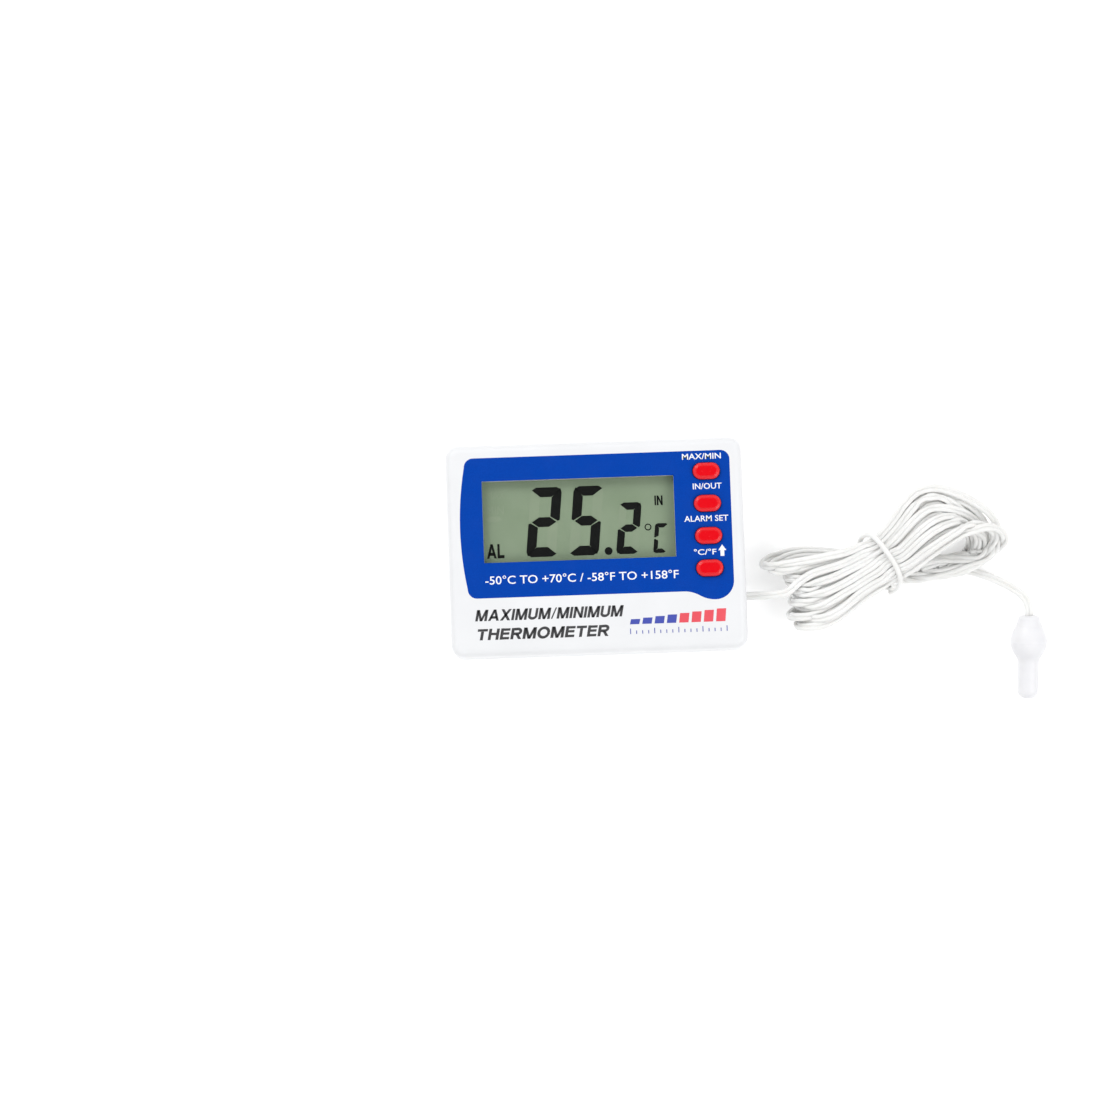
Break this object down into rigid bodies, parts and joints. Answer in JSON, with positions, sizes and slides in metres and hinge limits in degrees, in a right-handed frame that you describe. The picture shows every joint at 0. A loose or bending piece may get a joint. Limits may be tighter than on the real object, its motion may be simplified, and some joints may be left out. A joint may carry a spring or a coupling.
{
  "type": "digital maximum minimum thermometer",
  "caption": "Digital maximum minimum thermometer with a window display, press keys, folding stand and a tied thin lead ending in a moulded probe.",
  "frame": {"origin": "centre of the case's outline on the surface that its back rests on", "axes": "+X to the reader's right along the case's width, +Y to the top of the display, +Z out of the face"},
  "size_m": [0.1417, 0.064, 0.0172],
  "materials": {
    "white_case": "fine satin",
    "blue_label": "printed film",
    "clear_lens": "clear",
    "display": "grey-green reflective",
    "white_holder": "satin",
    "grey_rubber": "matt",
    "board": "satin",
    "black_resin": "cast",
    "red_key": "satin moulded",
    "black_plastic": "matt",
    "screw_steel": "plated",
    "cell_jacket": "printed jacket",
    "plated_spring": "nickel plated",
    "brass_disc": "bright",
    "solder": "bright",
    "wire_black": "satin",
    "wire_red": "satin",
    "white_lead": "satin vinyl",
    "white_probe": "satin moulded"
  },
  "bodies": {
    "case": {"front_shell": "white_case", "rear_shell": "white_case", "label_overlay": "blue_label", "display_window": "clear_lens", "display_glass": "display", "display_frame": "white_holder", "contact_strips": "grey_rubber", "circuit_board": "board", "chip_cover": "black_resin", "switch_bodies": "black_plastic", "case_screws": "screw_steel", "board_screws": "screw_steel", "battery": "cell_jacket", "battery_contact": "plated_spring", "battery_spring_plate": "plated_spring", "battery_spring": "plated_spring", "sounder": "brass_disc", "room_sensor": "black_resin", "lead_inside": "white_lead", "lead_stop": "white_lead", "solder_joints": "solder", "wire_negative": "wire_black", "wire_positive": "wire_red", "cord_lead_in": "white_lead", "cord_hank": "white_lead", "hank_tie": "white_lead", "cord_tail": "white_lead", "probe_shell": "white_probe", "probe_filling": "black_resin", "probe_thermistor": "black_resin", "lead_in_probe": "white_lead"},
    "key_max_min_body": {"key_max_min": "red_key", "plunger_max_min": "black_plastic"},
    "key_in_out_body": {"key_in_out": "red_key", "plunger_in_out": "black_plastic"},
    "key_alarm_set_body": {"key_alarm_set": "red_key", "plunger_alarm_set": "black_plastic"},
    "key_units_body": {"key_units": "red_key", "plunger_units": "black_plastic"},
    "cover_body": {"battery_cover": "white_case"},
    "stand_body": {"stand": "white_case"}
  },
  "joints": [
    {"name": "key_max_min_press", "type": "slide", "parent": "case", "child": "key_max_min_body", "axis": [0, 0, -1], "range_m": [0, 0.0005], "stiffness_N_per_m": 2000},
    {"name": "key_in_out_press", "type": "slide", "parent": "case", "child": "key_in_out_body", "axis": [0, 0, -1], "range_m": [0, 0.0005], "stiffness_N_per_m": 2000},
    {"name": "key_alarm_set_press", "type": "slide", "parent": "case", "child": "key_alarm_set_body", "axis": [0, 0, -1], "range_m": [0, 0.0005], "stiffness_N_per_m": 2000},
    {"name": "key_units_press", "type": "slide", "parent": "case", "child": "key_units_body", "axis": [0, 0, -1], "range_m": [0, 0.0005], "stiffness_N_per_m": 2000},
    {"name": "battery_cover_slide", "type": "slide", "parent": "case", "child": "cover_body", "axis": [0, -1, 0], "range_m": [0, 0.0145]},
    {"name": "stand_fold", "type": "hinge", "parent": "case", "child": "stand_body", "pos_m": [0, -0.007, 0.0017], "axis": [-1, 0, 0], "range_deg": [0, 110]}
  ]
}
